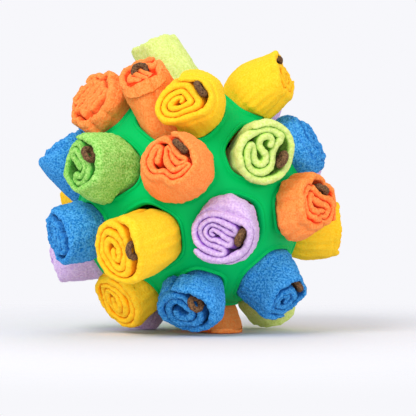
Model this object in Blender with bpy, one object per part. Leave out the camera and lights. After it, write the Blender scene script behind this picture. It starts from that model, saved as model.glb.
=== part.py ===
"""Snuffle ball for a dog: rolled fleece strips held in the holes of a moulded rubber lattice ball.

Metres, +Z up. The origin is the middle of the ball's footprint on the surface that it stands on, and -Y
is the front. The ball has the thirty-two holes of a truncated icosahedron. Every hole holds one rolled
strip, and one hole, stretched wider, holds two. Ring treats are tucked into the folds of some rolls.
"""

import math
from itertools import combinations, product
from typing import NamedTuple

import bmesh
import bpy
from mathutils import Euler, Vector
from mathutils.bvhtree import BVHTree

MM = 0.001

# The rubber ball
BALL_RADIUS = 65.0 * MM
WALL = 6.0 * MM
STRUT_WIDTH = 11.4 * MM
STRETCH = 6.5 * MM
BALL_OFF_FLOOR = 10.0 * MM
BALL_TURN_DEGREES = (136.9, -28.9, 169.9)
STRETCHED_HOLE_AIM = (-8.5, 50.3)
SUBDIVISIONS = 1

# The fleece strips, wound into rolls
FLEECE = 3.4 * MM
FOLD_GAP = 1.0 * MM
ROLL_RADIUS = 17.0 * MM
ROLL_REACH = 21.5 * MM
SHOULDER_RISE = 5.0 * MM
SHOULDER_CLEARANCE = 1.0 * MM
NECK_DEPTH = 1.8 * MM
TAIL_DEPTH = 24.0 * MM
TAIL_RADIUS = 9.5 * MM
CORE_RADIUS = 1.6 * MM
HOLE_CLEARANCE = 0.35 * MM
PAIR_SPACING = 26.0 * MM
FOOT_FLAT = 0.5 * MM
NECK_LEVEL_SHARES = (0.4, 0.15, -0.1, -0.35)
NECK_FILL_SHARE = 1.15
SETTLING_ROUNDS = 4
STEPS_PER_TURN = 8
MOST_STEPS = 16

# The ring treats
TREAT_DIAMETER = 10.5 * MM
TREAT_HOLE = 3.0 * MM
TREAT_CLEARANCE = 0.35 * MM
TREAT_STEP = 2.5
POCKET_START_SHARE = 0.4
TREAT_SIDES = 12
TREAT_RING_SIDES = 6

COLOURS = {
    "rubber": (0.0, 0.45, 0.12),
    "orange": (1.0, 0.28, 0.07),
    "yellow": (1.0, 0.62, 0.02),
    "lime": (0.72, 0.86, 0.28),
    "green": (0.30, 0.60, 0.10),
    "blue": (0.06, 0.28, 0.68),
    "lavender": (0.70, 0.52, 0.84),
    "treat": (0.16, 0.08, 0.05),
}


ROUGHNESS = {"rubber": 0.35, "treat": 0.8}
FLEECE_ROUGHNESS = 0.95


class Roll(NamedTuple):
    """One rolled strip: where it sits, how large it is and how it leans. Shares are of the sizes above."""

    name: str
    aim: tuple  # azimuth from the front and elevation of its hole, in degrees
    width_share: float
    reach_share: float
    lean_shares: tuple = (0.0, 0.0, 0.0)
    face_turn: float = 90.0  # degrees clockwise from the top, facing the roll's end
    treat: bool = False
    pair_side: int = 0  # -1 or 1 where two rolls share the stretched hole
    rests: bool = False  # its end's low side lies on the surface
    ends_on_surface: bool = False  # its whole end lies on the surface


ROLLS = (
    Roll("roll_orange_front", (-3, 13), 1.14, 1.0, (-0.41, 0, 0.12), 40, True),
    Roll("roll_lavender_front_low", (22, -15), 1.04, 1.0, (-0.63, 0, 0.24), 112, True),
    Roll("roll_yellow_front_left", (-21, -19), 1.10, 1.0, (-0.39, 0, 0.03), 87, True),
    Roll("roll_lime_front_right", (35, 25), 1.00, 1.0, (-0.24, 0, -0.48), 112, True),
    Roll("roll_green_left", (-41, 18), 1.02, 1.0, (-0.16, 0, -0.24), 58, True),
    Roll("roll_yellow_crown", (-8, 50), 0.96, 0.8, (-0.29, -0.74, -0.48), 55, True, pair_side=1),
    Roll("roll_orange_crown", (-8, 50), 0.71, 0.8, (-0.33, 0.66, 0.40), 250, True, pair_side=-1),
    Roll("roll_blue_under_front", (6, -50), 1.04, 0.85, (-0.36, 0, 0.125), 55, True),
    Roll("roll_orange_right", (59, -4), 1.03, 1.0, (-0.24, 0, 0.15), 30, True),
    Roll("roll_blue_left", (-60, -15), 0.95, 0.9, (-0.15, 0, 0.03), 250),
    Roll("roll_blue_right_low", (60, -42), 1.00, 1.0, (-0.18, 0, 0.21), 35, True),
    Roll("roll_yellow_left_low", (-55, -52), 1.00, 0.9, (0.09, 0, 0.45), 300),
    Roll("roll_yellow_right_top", (57, 59), 0.97, 1.21, (0.40, 0, -0.36), 20, True),
    Roll("roll_orange_left_top", (-67, 48), 1.04, 1.0, (-0.05, 0, -0.30), 200),
    Roll("roll_blue_right_high", (82, 26), 1.04, 0.95, (-0.36, 0, -0.15), 60),
    Roll("roll_blue_left_high", (-85, 14), 0.98, 0.85, (0.34, 0, 0.58), 320),
    Roll("roll_yellow_right", (95, -14), 1.08, 1.05, (-0.06, 0, 0.25), 140),
    Roll("roll_lavender_left_low", (-98, -26), 0.92, 0.85, (-0.12, 0, 0), 220),
    Roll("roll_orange_bottom", (66, -84), 1.02, 0.51, (0.35, -0.2, 0), 90, ends_on_surface=True),
    Roll("roll_lime_top", (-114, 84), 0.80, 1.27, (-0.57, 0, -0.09), 280),
    Roll("roll_lavender_under_left", (-123, -59), 0.92, 0.63, (0, 0, 0), 180, rests=True),
    Roll("roll_lime_under_right", (113, -48), 0.94, 1.0, (-0.2, 0.4, 0), 150, rests=True),
    Roll("roll_lavender_right_back", (120, 15), 0.94, 0.85, (0, 0.2, -0.1), 30),
    Roll("roll_yellow_left_back", (-121, 4), 0.92, 0.75, (0, 0, 0.1), 210),
    Roll("roll_lime_under_back", (172, -50), 0.94, 0.92, (0, 0, 0), 75, rests=True),
    Roll("roll_green_back_left", (-145, -25), 1.00, 0.95, (-0.2, 0, 0.1), 260),
    Roll("roll_blue_back_left_top", (-121, 42), 0.95, 1.0, (0.1, 0.4, -0.4), 330),
    Roll("roll_lavender_back_right_top", (125, 52), 0.95, 1.0, (-0.1, 0.5, -0.3), 45),
    Roll("roll_orange_back_top", (-174, 50), 0.98, 1.0, (0.1, 0, 0.1), 120),
    Roll("roll_orange_back_right", (139, -18), 1.00, 0.9, (-0.2, 0.3, 0), 290),
    Roll("roll_yellow_back_right", (159, 19), 1.02, 1.0, (0.2, 0, 0.2), 15),
    Roll("roll_lime_back_left", (-158, 15), 1.00, 1.0, (-0.2, 0, 0.2), 165),
    Roll("roll_blue_back", (177, -13), 1.00, 0.95, (0.1, 0, -0.2), 240),
)


class Hole(NamedTuple):
    """One hole of the lattice: the direction of its middle and the keys of its corners in order."""

    direction: Vector
    corners: list


class Section(NamedTuple):
    """One cross-section of a roll: its middle, its normal and the radius of its outer layer."""

    middle: Vector
    normal: Vector
    radius: float


class Seat(NamedTuple):
    """A roll's place in its hole, which lies to one side where two rolls share the hole."""

    tree: BVHTree
    axis: Vector
    aside: Vector
    rim_height: float

    def at_height(self, height):
        """The point of the roll's own axis at a height above the ball's middle."""
        return PAIR_SPACING / 2 * self.aside + height * self.axis

    def room(self, direction):
        """How far the roll may reach sideways in one direction, with its clearance taken off."""
        reaches = []
        for share in NECK_LEVEL_SHARES:
            hit = self.tree.ray_cast(self.at_height(self.rim_height + share * WALL), direction)
            if hit[0]:
                reaches.append(hit[3])
        towards_other = -direction.dot(self.aside)
        if towards_other > 0:
            reaches.append(PAIR_SPACING / 2 / towards_other)
        return min(reaches) - HOLE_CLEARANCE

    def neck_height(self):
        """The height at which the hole's furthest corner lies just inside the ball's outer skin."""
        side = tangent(Vector((0, 0, 1)), self.axis)
        furthest = 0.0
        for step in range(STEPS_PER_TURN):
            turn = step * math.tau / STEPS_PER_TURN
            direction = math.cos(turn) * side + math.sin(turn) * self.axis.cross(side)
            corner = self.at_height(0.0) + self.room(direction) * direction
            furthest = max(furthest, corner.length)
        return math.sqrt((BALL_RADIUS - NECK_DEPTH) ** 2 - furthest**2)


def clear_scene():
    """Remove the objects that the scene starts with."""
    for obj in list(bpy.data.objects):
        bpy.data.objects.remove(obj, do_unlink=True)


def material(name, colour):
    """A plain material of one colour."""
    made = bpy.data.materials.new(name)
    made.use_nodes = True
    shader = made.node_tree.nodes["Principled BSDF"]
    shader.inputs["Base Color"].default_value = (*COLOURS[colour], 1.0)
    shader.inputs["Metallic"].default_value = 0.0
    shader.inputs["Roughness"].default_value = ROUGHNESS.get(colour, FLEECE_ROUGHNESS)
    return made


def add_object(name, bm, colour, parent, origin):
    """Turn a bmesh into a named object with its material and its own origin."""
    bmesh.ops.translate(bm, verts=bm.verts, vec=-origin)
    bmesh.ops.recalc_face_normals(bm, faces=bm.faces)
    mesh = bpy.data.meshes.new(name)
    bm.to_mesh(mesh)
    bm.free()
    mesh.materials.append(material(f"{name}_{colour}", colour))
    obj = bpy.data.objects.new(name, mesh)
    bpy.context.scene.collection.objects.link(obj)
    obj.parent = parent
    obj.location = origin
    return obj


def evaluated_mesh(obj):
    """The object's mesh with its modifiers applied."""
    graph = bpy.context.evaluated_depsgraph_get()
    return bpy.data.meshes.new_from_object(obj.evaluated_get(graph))


def aim_direction(aim):
    """The unit vector of an azimuth from the front and an elevation, in degrees."""
    azimuth, elevation = (math.radians(angle) for angle in aim)
    level = math.cos(elevation)
    return Vector((level * math.sin(azimuth), -level * math.cos(azimuth), math.sin(elevation)))


def icosahedron_points():
    """The twelve corners of an icosahedron, as unit vectors, turned as the ball is."""
    golden = (1 + math.sqrt(5)) / 2
    turn = Euler([math.radians(angle) for angle in BALL_TURN_DEGREES], "XYZ").to_matrix()
    points = []
    for a, b in product((-1, 1), repeat=2):
        for shift in range(3):
            point = [0, a, b * golden]
            points.append(turn @ Vector(point[-shift:] + point[:-shift]).normalized())
    return points


def lattice():
    """The holes of the truncated icosahedron, and the directions of its corners by their keys.

    A corner lies a third of the way along an icosahedron's edge, and its key is that edge's two points,
    the nearer one first. Twelve holes go round the points, and twenty round the triangles.
    """
    points = icosahedron_points()
    nearest = min((points[0] - point).length for point in points[1:])
    near = {
        (i, j)
        for i, j in product(range(len(points)), repeat=2)
        if i != j and (points[i] - points[j]).length < 1.1 * nearest
    }
    corners = {(i, j): (2 * points[i] + points[j]).normalized() for i, j in near}
    groups = [[key for key in corners if key[0] == i] for i in range(len(points))]
    for trio in combinations(range(len(points)), 3):
        if all(pair in near for pair in combinations(trio, 2)):
            groups.append([key for key in corners if key[0] in trio and key[1] in trio])
    stretch_hole(corners, nearest_hole([make_hole(keys, corners) for keys in groups], STRETCHED_HOLE_AIM))
    return [make_hole(keys, corners) for keys in groups], corners


def make_hole(keys, corners):
    """A hole from its corners, which are put in order round its middle."""
    middle = sum((corners[key] for key in keys), Vector()).normalized()
    first = tangent(corners[keys[0]], middle)
    second = middle.cross(first)
    ordered = sorted(keys, key=lambda key: math.atan2(corners[key].dot(second), corners[key].dot(first)))
    return Hole(middle, ordered)


def tangent(towards, normal):
    """The unit vector nearest to a direction that is square to the normal."""
    return (towards - towards.dot(normal) * normal).normalized()


def nearest_hole(holes, aim):
    """The hole nearest to an azimuth and elevation."""
    wanted = aim_direction(aim)
    return max(holes, key=lambda hole: hole.direction.dot(wanted))


def make_seat(roll, tree, holes, corners):
    """The seat of a roll in the hole nearest to its aim, whose rim lies at its furthest corner's height."""
    hole = nearest_hole(holes, roll.aim)
    aside = roll.pair_side * tangent(Vector((1, 0, 0)), hole.direction)
    rim_height = BALL_RADIUS * min(hole.direction.dot(corners[key]) for key in hole.corners)
    return Seat(tree, hole.direction, aside, rim_height)


def stretch_hole(corners, hole):
    """Push the corners of the hole that holds two rolls away from its middle."""
    angle = STRETCH / BALL_RADIUS
    for key in hole.corners:
        away = -tangent(hole.direction, corners[key])
        corners[key] = math.cos(angle) * corners[key] + math.sin(angle) * away


def make_ball(holes, corners, parent):
    """The rubber lattice: struts between rounded openings, one moulded wall."""
    inset = STRUT_WIDTH / 2 / math.sin(math.radians(60)) / BALL_RADIUS
    bm = bmesh.new()
    outer, inner = {}, {}
    for number, hole in enumerate(holes):
        for key in hole.corners:
            inward = tangent(hole.direction, corners[key])
            place = math.cos(inset) * corners[key] + math.sin(inset) * inward
            outer[number, key] = bm.verts.new(place * BALL_RADIUS)
            inner[number, key] = bm.verts.new(place * (BALL_RADIUS - WALL))
    beside = {}
    for number, hole in enumerate(holes):
        for first, second in zip(hole.corners, hole.corners[1:] + hole.corners[:1]):
            beside.setdefault(frozenset((first, second)), []).append(number)
            side = (outer[number, first], outer[number, second])
            bm.faces.new((*side, inner[number, second], inner[number, first]))
    for edge, (one, other) in beside.items():
        first, second = sorted(edge)
        for skin in (outer, inner):
            bm.faces.new((skin[one, first], skin[one, second], skin[other, second], skin[other, first]))
    for key in corners:
        around = [number for number, hole in enumerate(holes) if key in hole.corners]
        for skin in (outer, inner):
            bm.faces.new([skin[number, key] for number in around])
    ball = add_object("rubber_ball", bm, "rubber", parent, Vector())
    rounding = ball.modifiers.new("rounded_struts", "SUBSURF")
    rounding.levels = rounding.render_levels = SUBDIVISIONS
    bpy.context.view_layer.update()
    mesh = evaluated_mesh(ball)
    swell = BALL_RADIUS / max(vertex.co.length for vertex in mesh.vertices)
    bpy.data.meshes.remove(mesh)
    for vertex in ball.data.vertices:
        vertex.co *= swell
    ball.data.shade_smooth()
    return ball


def treat_thickness():
    """The thickness of a ring treat, which is round in section."""
    return (TREAT_DIAMETER - TREAT_HOLE) / 2


def flat_share():
    """How much nearer to the middle a flat of the wound strip lies than its corners do."""
    return math.cos(math.pi / STEPS_PER_TURN)


def layer_inside(roll):
    """The radius of the corners on the inside of the layer that a treat lies against."""
    wound_in = (FLEECE + FOLD_GAP) * TREAT_STEP / STEPS_PER_TURN
    return ROLL_RADIUS * roll.width_share - wound_in - FLEECE


def treat_sink(roll):
    """How much further in a treat lies because it is wider than the flat that it lies against."""
    half_flat = layer_inside(roll) * math.sin(math.pi / STEPS_PER_TURN)
    overhang = TREAT_DIAMETER / 2 - treat_thickness() / 4 - half_flat
    return max(0.0, overhang) * math.tan(math.tau / STEPS_PER_TURN)


def pocket_opening(roll):
    """How far the inner turns draw in, and also move aside, to leave room for a treat."""
    if not roll.treat:
        return 0.0
    room = treat_thickness() + 2 * TREAT_CLEARANCE + treat_sink(roll) - FOLD_GAP * flat_share()
    return room / (1 + flat_share())


def wound_steps(roll):
    """How many steps the strip takes inwards before it reaches the core."""
    room = ROLL_RADIUS * roll.width_share - FLEECE - pocket_opening(roll) - CORE_RADIUS
    return min(MOST_STEPS, int(STEPS_PER_TURN * room / (FLEECE + FOLD_GAP)))


def strip_outline(roll):
    """The wound strip's outer and inner edges on a roll of full size, as pairs of (right, up)."""
    facing = math.radians(roll.face_turn)
    outer, inner = [], []
    for step in range(wound_steps(roll) + 1):
        angle = facing + (step - TREAT_STEP) * math.tau / STEPS_PER_TURN
        past = (step - TREAT_STEP) / STEPS_PER_TURN * 2 - POCKET_START_SHARE
        opened = pocket_opening(roll) * min(1.0, max(0.0, past))
        wound_in = (FLEECE + FOLD_GAP) * step / STEPS_PER_TURN
        reach = ROLL_RADIUS * roll.width_share - wound_in - opened
        for length, points in ((reach, outer), (reach - FLEECE, inner)):
            right = length * math.sin(angle) - opened * math.sin(facing)
            up = length * math.cos(angle) - opened * math.cos(facing)
            points.append((right, up))
    return outer, inner


def facing_axes(normal):
    """The right and up directions for someone who faces a roll's end."""
    sideways = Vector((0, 0, 1)).cross(normal)
    if sideways.length < 0.2:
        sideways = Vector((1, 0, 0))
    right = tangent(sideways.normalized(), normal)
    return right, normal.cross(right)


def carried_axes(normal, end_normal):
    """The right and up directions on a section, carried over from the roll's end so that nothing twists."""
    right = tangent(facing_axes(end_normal)[0], normal)
    return right, normal.cross(right)


def shoulder_distance(radius, tilt):
    """How far out along its lean a roll's shoulder lies, so that its low side clears the ball."""
    level = BALL_RADIUS * math.cos(tilt)
    low_side = BALL_RADIUS**2 + radius**2 - 2 * BALL_RADIUS * radius * math.sin(tilt)
    outside = level**2 - low_side + (BALL_RADIUS + SHOULDER_CLEARANCE) ** 2
    return max(SHOULDER_RISE, math.sqrt(max(0.0, outside)) - level)


def roll_sections(roll, seat):
    """The tail, neck, shoulder and end sections of a roll."""
    radius = ROLL_RADIUS * roll.width_share
    top = seat.at_height(BALL_RADIUS)
    end = top + ROLL_REACH * (roll.reach_share * seat.axis + Vector(roll.lean_shares))
    for _ in range(SETTLING_ROUNDS if roll.rests else 0):
        leaning = (end - top).normalized()
        ring = section_ring(roll, Section(end, leaning, radius), leaning)
        end.z -= min(point.z for point in ring) + BALL_RADIUS + BALL_OFF_FLOOR + FOOT_FLAT
    along = (end - top).normalized()
    normal = Vector((0, 0, -1)) if roll.ends_on_surface else along
    if roll.ends_on_surface:
        end.z = -BALL_RADIUS - BALL_OFF_FLOOR - FOOT_FLAT
    shoulder = top + shoulder_distance(radius, seat.axis.angle(normal)) * along
    return (
        Section(seat.at_height(BALL_RADIUS - TAIL_DEPTH), seat.axis, TAIL_RADIUS),
        Section(seat.at_height(seat.neck_height()), seat.axis, radius * NECK_FILL_SHARE),
        Section(shoulder, normal, radius),
        Section(end, normal, radius),
    )


def section_ring(roll, section, end_normal, seat=None):
    """The wound strip's corners on a section, its outer edge first, squeezed where it has a seat."""
    right, up = carried_axes(section.normal, end_normal)
    outer, inner = strip_outline(roll)
    ring = []
    for x, y in outer + inner[::-1]:
        offset = x * right + y * up
        radius = section.radius
        if seat:
            radius = min(radius, seat.room(offset.normalized()))
        ring.append(section.middle + offset * radius / (ROLL_RADIUS * roll.width_share))
    return ring


def least_fold_gap(rings):
    """The least distance between a corner of the strip and the next turn's corner behind it.

    It is infinite where the strip is wound less than once round.
    """
    gaps = []
    for ring in rings:
        outer, inner = ring[: len(ring) // 2], ring[: len(ring) // 2 - 1 : -1]
        gaps += [(low - high).length for low, high in zip(outer[STEPS_PER_TURN:], inner)]
    return min(gaps, default=math.inf)


def make_roll(roll, seat, parent, cutter):
    """One strip wound into a roll, squeezed where it passes the hole and leaning as it lies."""
    tail, neck, shoulder, end = roll_sections(roll, seat)
    rings = [section_ring(roll, section, end.normal, seat) for section in (tail, neck)]
    rings += [section_ring(roll, section, end.normal) for section in (shoulder, end)]
    print(f"{roll.name}: least gap between its folds {least_fold_gap(rings) / MM:.2f} mm")
    bm = bmesh.new()
    made = [[bm.verts.new(point) for point in ring] for ring in rings]
    for low, high in zip(made, made[1:]):
        for i in range(len(low)):
            j = (i + 1) % len(low)
            bm.faces.new((low[i], low[j], high[j], high[i]))
    for ring in (made[0], made[-1]):
        for i in range(len(ring) // 2 - 1):
            bm.faces.new((ring[i], ring[i + 1], ring[-i - 2], ring[-i - 1]))
    origin = seat.at_height(BALL_RADIUS)
    body = add_object(roll.name, bm, roll.name.split("_")[1], parent, origin)
    if roll.rests or roll.ends_on_surface:
        trim = body.modifiers.new("flat_on_the_surface", "BOOLEAN")
        trim.operation = "DIFFERENCE"
        trim.solver = "EXACT"
        trim.object = cutter
    if roll.treat:
        make_treat(roll, end, parent)


def make_treat(roll, end, parent):
    """A ring treat, half tucked into the fold behind the roll's outer layer."""
    right, up = facing_axes(end.normal)
    facing = math.radians(roll.face_turn)
    outward = math.sin(facing) * right + math.cos(facing) * up
    depth = TREAT_CLEARANCE + treat_sink(roll) + treat_thickness() / 2
    middle = end.middle + (layer_inside(roll) * flat_share() - depth) * outward
    side = end.normal.cross(outward)
    bm = bmesh.new()
    rings = []
    for around in range(TREAT_SIDES):
        turn = around * math.tau / TREAT_SIDES
        spoke = math.cos(turn) * end.normal + math.sin(turn) * side
        centre = middle + (TREAT_HOLE + treat_thickness()) / 2 * spoke
        ring = []
        for part in range(TREAT_RING_SIDES):
            bend = part * math.tau / TREAT_RING_SIDES
            offset = math.cos(bend) * spoke + math.sin(bend) * outward
            ring.append(bm.verts.new(centre + treat_thickness() / 2 * offset))
        rings.append(ring)
    for low, high in zip(rings, rings[1:] + rings[:1]):
        for i in range(TREAT_RING_SIDES):
            j = (i + 1) % TREAT_RING_SIDES
            bm.faces.new((low[i], low[j], high[j], high[i]))
    add_object(roll.name.replace("roll", "treat"), bm, "treat", parent, middle)


def make_cutter(parent):
    """The block under the surface that trims the rolls which the ball stands on."""
    size = 2 * (BALL_RADIUS + ROLL_REACH + ROLL_RADIUS)
    bm = bmesh.new()
    bmesh.ops.create_cube(bm, size=size)
    origin = Vector((0, 0, -BALL_RADIUS - BALL_OFF_FLOOR - size / 2))
    bmesh.ops.translate(bm, verts=bm.verts, vec=origin)
    cutter = add_object("surface_cutter", bm, "rubber", parent, origin)
    cutter.hide_render = True
    cutter.display_type = "WIRE"
    return cutter


def stand_on_origin(stand, pieces):
    """Move the ball so that the middle of its footprint on the surface is the origin."""
    corners = []
    for piece in pieces:
        mesh = evaluated_mesh(piece)
        corners += [piece.matrix_world @ vertex.co for vertex in mesh.vertices]
        bpy.data.meshes.remove(mesh)
    for axis in (0, 1):
        values = [corner[axis] for corner in corners]
        stand.location[axis] = -(min(values) + max(values)) / 2
    stand.location.z = BALL_RADIUS + BALL_OFF_FLOOR


def main():
    """Build the ball, its rolls and its treats."""
    clear_scene()
    stand = bpy.data.objects.new("stand", None)
    bpy.context.scene.collection.objects.link(stand)
    holes, corners = lattice()
    ball = make_ball(holes, corners, stand)
    cutter = make_cutter(stand)
    bpy.context.view_layer.update()
    tree = BVHTree.FromObject(ball, bpy.context.evaluated_depsgraph_get())
    for roll in ROLLS:
        make_roll(roll, make_seat(roll, tree, holes, corners), stand, cutter)
    bpy.context.view_layer.update()
    stand_on_origin(stand, [obj for obj in stand.children if not obj.hide_render])
    bpy.context.view_layer.update()


main()
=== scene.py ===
"""Looks of a dog's snuffle ball: wound fleece strips and ring treats in a moulded rubber lattice ball.

Metres, +Z up, -Y the front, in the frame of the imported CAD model. Every fleece strip is one mesh, wound
along a line drawn in millimetres on the plane of its roll's end and lofted back through its hole.
"""

import logging
import math
from dataclasses import dataclass, field
from enum import Enum
from itertools import combinations, product

import bmesh
import bpy
import numpy as np
from mathutils import Euler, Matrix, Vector
from mathutils.bvhtree import BVHTree

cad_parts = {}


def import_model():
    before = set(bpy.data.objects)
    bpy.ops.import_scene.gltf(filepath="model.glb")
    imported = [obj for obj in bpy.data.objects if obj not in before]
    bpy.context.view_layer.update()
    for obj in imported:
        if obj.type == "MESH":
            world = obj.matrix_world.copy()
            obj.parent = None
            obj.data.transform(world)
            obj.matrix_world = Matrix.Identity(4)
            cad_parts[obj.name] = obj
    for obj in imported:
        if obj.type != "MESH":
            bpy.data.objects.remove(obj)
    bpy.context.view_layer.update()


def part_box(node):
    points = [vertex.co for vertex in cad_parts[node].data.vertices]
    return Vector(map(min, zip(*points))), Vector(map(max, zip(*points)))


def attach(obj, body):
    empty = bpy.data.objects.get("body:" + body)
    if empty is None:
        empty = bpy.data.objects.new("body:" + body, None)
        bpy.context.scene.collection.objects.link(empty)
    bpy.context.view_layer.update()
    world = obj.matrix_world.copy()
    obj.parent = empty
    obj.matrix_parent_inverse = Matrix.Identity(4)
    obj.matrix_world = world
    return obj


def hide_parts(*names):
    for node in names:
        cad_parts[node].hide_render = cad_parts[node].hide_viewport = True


MM = 0.001
BALL_HEIGHT = 75 * MM
GRIP = 0.25 * MM  # what the fleece keeps clear of the rubber that it presses on
FLOOR_GAP = 0.3 * MM  # what the lowest strips keep clear of the floor
FIRST_SEED = 100
UP = Vector((0, 0, 1))
RIGHT = Vector((1, 0, 0))

Array = np.ndarray
Tree = bpy.types.NodeTree
Socket = bpy.types.NodeSocket
log = logging.getLogger("snuffle_ball")


def linear(colour: str) -> tuple[float, float, float, float]:
    """Turn an sRGB hex colour into linear light.

    Args:
        colour: Six hex digits after a hash.

    Returns:
        Red, green, blue and an alpha of 1.
    """
    parts = [int(colour[i : i + 2], 16) / 255 for i in (1, 3, 5)]
    return (*(p / 12.92 if p <= 0.04045 else ((p + 0.055) / 1.055) ** 2.4 for p in parts), 1.0)


def add_node(tree: Tree, kind: str, inputs: dict | None = None, **settings) -> bpy.types.Node:
    """Add one node to a material.

    Args:
        tree: The material's or the world's node tree.
        kind: The node's type.
        inputs: What goes into its sockets, by name or number: a value, or another node's output to link.
        settings: The node's own properties.

    Returns:
        The new node.
    """
    node = tree.nodes.new(kind)
    for name, value in settings.items():
        setattr(node, name, value)
    for key, value in (inputs or {}).items():
        if isinstance(value, Socket):
            tree.links.new(value, node.inputs[key])
        else:
            node.inputs[key].default_value = value
    return node


def noise(tree: Tree, size_mm: float, **values: float) -> Socket:
    """Add a cloudy pattern that is fixed to its object.

    Args:
        tree: The material's node tree.
        size_mm: How large one cloud really is.
        values: The noise's other inputs.

    Returns:
        The pattern.
    """
    place = add_node(tree, "ShaderNodeTexCoord").outputs["Object"]
    values = {"Vector": place, "Scale": 1 / (size_mm * MM), **values}
    return add_node(tree, "ShaderNodeTexNoise", values).outputs["Fac"]


def contrast(tree: Tree, pattern: Socket, width: float) -> Socket:
    """Spread the middle of a pattern over its whole range.

    Args:
        tree: The material's node tree.
        pattern: The pattern.
        width: How much of it about its middle is kept.

    Returns:
        The stronger pattern.
    """
    ends = {"Value": pattern, "From Min": 0.5 - width / 2, "From Max": 0.5 + width / 2}
    return add_node(tree, "ShaderNodeMapRange", ends).outputs["Result"]


def blend(tree: Tree, share: Socket, first: Socket | tuple, second: tuple) -> Socket:
    """Mix two colours.

    Args:
        tree: The material's node tree.
        share: The pattern that gives the second colour's share.
        first: The colour where the pattern is 0.
        second: The colour where it is 1.

    Returns:
        The mixed colour.
    """
    mixed = add_node(tree, "ShaderNodeMix", {"Factor": share, "A": first, "B": second}, data_type="RGBA")
    return mixed.outputs["Result"]


class Finish:
    """What all finishes share: the material is built when it is first asked for."""

    name: str
    roughness: float
    relief: float  # how strongly the relief shades, 0 to 1
    relief_mm: float  # how high it really stands

    def surface(self, tree: Tree) -> Socket:
        """Build the look itself, which each finish does in its own way."""
        raise NotImplementedError

    def material(self) -> bpy.types.Material:
        """Build the material, or find it again.

        Returns:
            The material.
        """
        made = bpy.data.materials.get(self.name)
        if made is None:
            made = bpy.data.materials.new(self.name)
            made.use_nodes = True
            made.node_tree.nodes.clear()
            add_node(made.node_tree, "ShaderNodeOutputMaterial", {"Surface": self.surface(made.node_tree)})
        return made

    def coat(self, tree: Tree, tint: Socket, height: Socket, inputs: dict) -> Socket:
        """Lay a colour on a surface with relief.

        Args:
            tree: The material's node tree.
            tint: The colour.
            height: The pattern of the relief.
            inputs: The shader's other inputs.

        Returns:
            The shader.
        """
        values = {"Height": height, "Strength": self.relief, "Distance": self.relief_mm * MM}
        bump = add_node(tree, "ShaderNodeBump", values).outputs["Normal"]
        values = {"Base Color": tint, "Roughness": self.roughness, "Normal": bump, **inputs}
        return add_node(tree, "ShaderNodeBsdfPrincipled", values).outputs[0]


@dataclass(frozen=True)
class MouldedRubber(Finish):
    """Thermoplastic rubber from a satin steel mould: an even green with a broad soft highlight."""

    name: str = "moulded_rubber"
    colour: str = "#00C464"
    clouding: str = "#00B058"
    roughness: float = 0.5
    ior: float = 1.52
    gloss: float = 0.05
    grain_mm: float = 0.7  # spark-eroded grain, drawn coarser than the real 0.1 mm so that it shows
    cloud_mm: float = 26.0
    relief: float = 0.12
    relief_mm: float = 0.1

    def surface(self, tree: Tree) -> Socket:
        """Build the look of the rubber.

        Args:
            tree: The material's node tree.

        Returns:
            The shader.
        """
        tint = blend(tree, noise(tree, self.cloud_mm), linear(self.colour), linear(self.clouding))
        grain = noise(tree, self.grain_mm, Detail=1.0)
        return self.coat(tree, tint, grain, {"IOR": self.ior, "Specular IOR Level": self.gloss})


@dataclass(frozen=True)
class BrushedFleece(Finish):
    """Brushed polyester fleece, matt and soft: painted highlight on its pile, saturated painted shade in folds.
    """

    name: str
    pile: str  # the colour of the raised clumps of pile: painted highlight; also the sheen's tint
    painted_ground_shade: str  # the colour between the clumps: painted shade
    painted_fold_shade: str  # painted shade deep in folds, standing in for light bounced from dyed cloth to dyed cloth
    nub_mm: float  # how far apart the clumps of pile stand
    relief_mm: float  # how high they stand
    mottling: float  # how far the darker painted shade between the clumps shows
    fray_mm: float  # how far the pile stands out at an edge
    roughness: float = 0.95
    relief: float = 0.8
    gloss: float = 0.15
    sheen: float = 0.35
    sheen_roughness: float = 0.5
    tip_contrast: float = 0.22

    def surface(self, tree: Tree) -> Socket:
        """Build the look of the cloth.

        Args:
            tree: The material's node tree.

        Returns:
            The shader.
        """
        clumps = noise(tree, self.nub_mm, Detail=2.5, Roughness=0.6)
        # Lighter where the pattern raises the clumps, darker between them: painted highlight and painted shade.
        painted_relief_light = contrast(tree, clumps, self.tip_contrast / self.mottling)
        tint = blend(tree, painted_relief_light, linear(self.painted_ground_shade), linear(self.pile))
        # How much painted shade in folds the strip's mesh asks for.
        depth = add_node(tree, "ShaderNodeAttribute", attribute_name="painted_fold_shade").outputs["Fac"]
        inputs = {
            "Specular IOR Level": self.gloss, "Sheen Weight": self.sheen, "Sheen Roughness": self.sheen_roughness,
            "Sheen Tint": linear(self.pile),
        }
        return self.coat(tree, blend(tree, depth, tint, linear(self.painted_fold_shade)), clumps, inputs)


@dataclass(frozen=True)
class BakedKibble(Finish):
    """Baked meal, a dry brown crust: painted shade in its pores, painted highlight on the crumbs that stand out.
    """

    name: str = "baked_kibble"
    # Paler where crumbs stand out, darker in the pores: painted highlight and painted shade.
    crust: str = "#84603E"
    painted_pore_shade: str = "#422A1A"
    crumb_mm: float = 0.9
    roughness: float = 0.85
    gloss: float = 0.3
    relief: float = 0.9
    relief_mm: float = 0.5
    pore_contrast: float = 0.2

    def surface(self, tree: Tree) -> Socket:
        """Build the look of the crust.

        Args:
            tree: The material's node tree.

        Returns:
            The shader.
        """
        crumbs = noise(tree, self.crumb_mm, Detail=3.0, Roughness=0.65)
        # The pattern that raises the crumbs also paints them paler and the pores darker: painted light and shade.
        tint = blend(tree, contrast(tree, crumbs, self.pore_contrast), linear(self.painted_pore_shade), linear(self.crust))
        return self.coat(tree, tint, crumbs, {"Specular IOR Level": self.gloss})


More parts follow.
